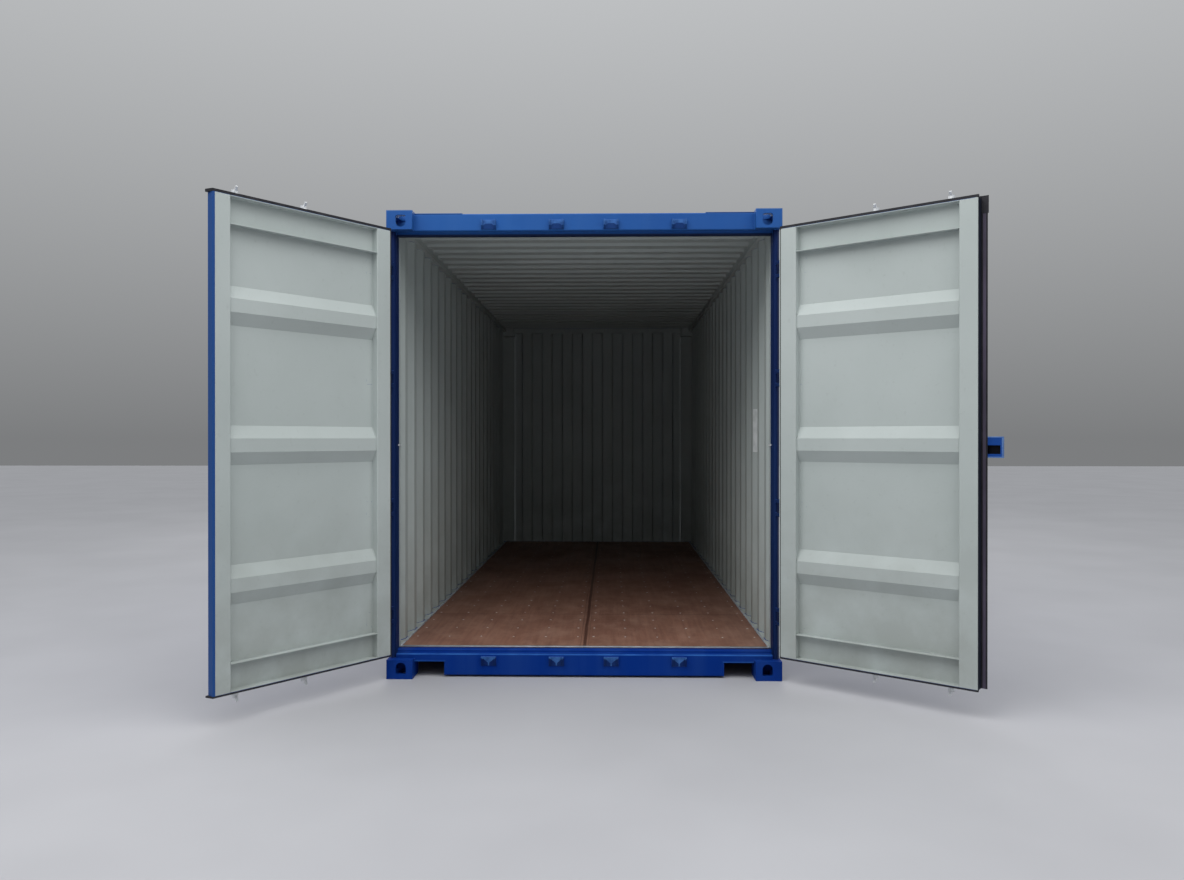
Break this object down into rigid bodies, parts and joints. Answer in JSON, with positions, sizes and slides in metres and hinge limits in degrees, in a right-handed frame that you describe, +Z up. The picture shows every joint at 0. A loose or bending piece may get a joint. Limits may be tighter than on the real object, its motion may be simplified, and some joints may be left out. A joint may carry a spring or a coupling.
{
  "type": "shipping container",
  "caption": "Steel freight container with corrugated walls, plywood floor, corner fittings and two hinged door leaves with lock bars, standing open.",
  "frame": {"origin": "centre of the base footprint, on the ground plane under the corner fittings", "axes": "+Z up, +Y along the container from the door end to the blind end, +X to the right seen from the doors"},
  "size_m": [4.1537, 7.0261, 2.896],
  "materials": {
    "blue_paint": "worn marine blue paint",
    "wall_paint": "blue outside, light grey inside, on corrugated steel",
    "door_paint": "light grey inside, blue outside",
    "galvanised_steel": "dull zinc coating",
    "rubber_gasket": "matt black extrusion",
    "plywood": "brown-red sealed plywood",
    "floor_steel": "worn steel",
    "vent_plastic": "moulded vent cover"
  },
  "bodies": {
    "container_body": {"bottom_corner_fittings": "blue_paint", "bottom_side_rail_left": "blue_paint", "bottom_side_rail_right": "blue_paint", "cross_members": "blue_paint", "door_header": "blue_paint", "door_post_left": "blue_paint", "door_post_right": "blue_paint", "door_sill": "blue_paint", "end_post_left": "blue_paint", "end_post_right": "blue_paint", "end_sill": "blue_paint", "end_top_rail": "blue_paint", "end_wall": "wall_paint", "floor_centre_strip": "floor_steel", "forklift_pockets": "blue_paint", "header_cam_keepers": "blue_paint", "hinge_lugs_left": "blue_paint", "hinge_lugs_right": "blue_paint", "lashing_rings": "galvanised_steel", "plywood_floor": "plywood", "roof_corner_plates": "blue_paint", "roof_panel": "wall_paint", "side_wall_left": "wall_paint", "side_wall_right": "wall_paint", "sill_cam_keepers": "blue_paint", "top_corner_fittings": "blue_paint", "top_side_rail_left": "blue_paint", "top_side_rail_right": "blue_paint", "ventilators": "vent_plastic"},
    "left_door": {"left_door_bar_brackets": "galvanised_steel", "left_door_gasket": "rubber_gasket", "left_door_hinge_blades": "blue_paint", "left_door_panel": "door_paint", "left_door_rails": "door_paint", "left_door_stiles": "door_paint"},
    "left_inner_lock_bar": {"left_inner_lock_bar": "galvanised_steel"},
    "left_outer_lock_bar": {"left_outer_lock_bar": "galvanised_steel"},
    "right_door": {"right_door_bar_brackets": "galvanised_steel", "right_door_gasket": "rubber_gasket", "right_door_hinge_blades": "blue_paint", "right_door_lock_box": "blue_paint", "right_door_panel": "door_paint", "right_door_rails": "door_paint", "right_door_stiles": "door_paint"},
    "right_inner_lock_bar": {"right_inner_lock_bar": "galvanised_steel"},
    "right_outer_lock_bar": {"right_outer_lock_bar": "galvanised_steel"}
  },
  "joints": [
    {"name": "left_door_hinge", "type": "hinge", "parent": "container_body", "child": "left_door", "pos_m": [-1.204, -3.005, 1.45], "axis": [0, 0, -1], "range_deg": [-127.1, 137.9]},
    {"name": "right_door_hinge", "type": "hinge", "parent": "container_body", "child": "right_door", "pos_m": [1.204, -3.005, 1.45], "axis": [0, 0, 1], "range_deg": [-141.6, 123.4]},
    {"name": "left_inner_bar_turn", "type": "hinge", "parent": "left_door", "child": "left_inner_lock_bar", "pos_m": [-1.83091, -3.82729, 1.45], "axis": [0, 0, -1], "range_deg": [-100, 0]},
    {"name": "left_outer_bar_turn", "type": "hinge", "parent": "left_door", "child": "left_outer_lock_bar", "pos_m": [-1.57635, -3.49071, 1.45], "axis": [0, 0, -1], "range_deg": [-100, 0]},
    {"name": "right_inner_bar_turn", "type": "hinge", "parent": "right_door", "child": "right_inner_lock_bar", "pos_m": [2.01682, -3.64413, 1.45], "axis": [0, 0, 1], "range_deg": [-100, 0]},
    {"name": "right_outer_bar_turn", "type": "hinge", "parent": "right_door", "child": "right_outer_lock_bar", "pos_m": [1.6861, -3.38201, 1.45], "axis": [0, 0, 1], "range_deg": [-100, 0]}
  ]
}
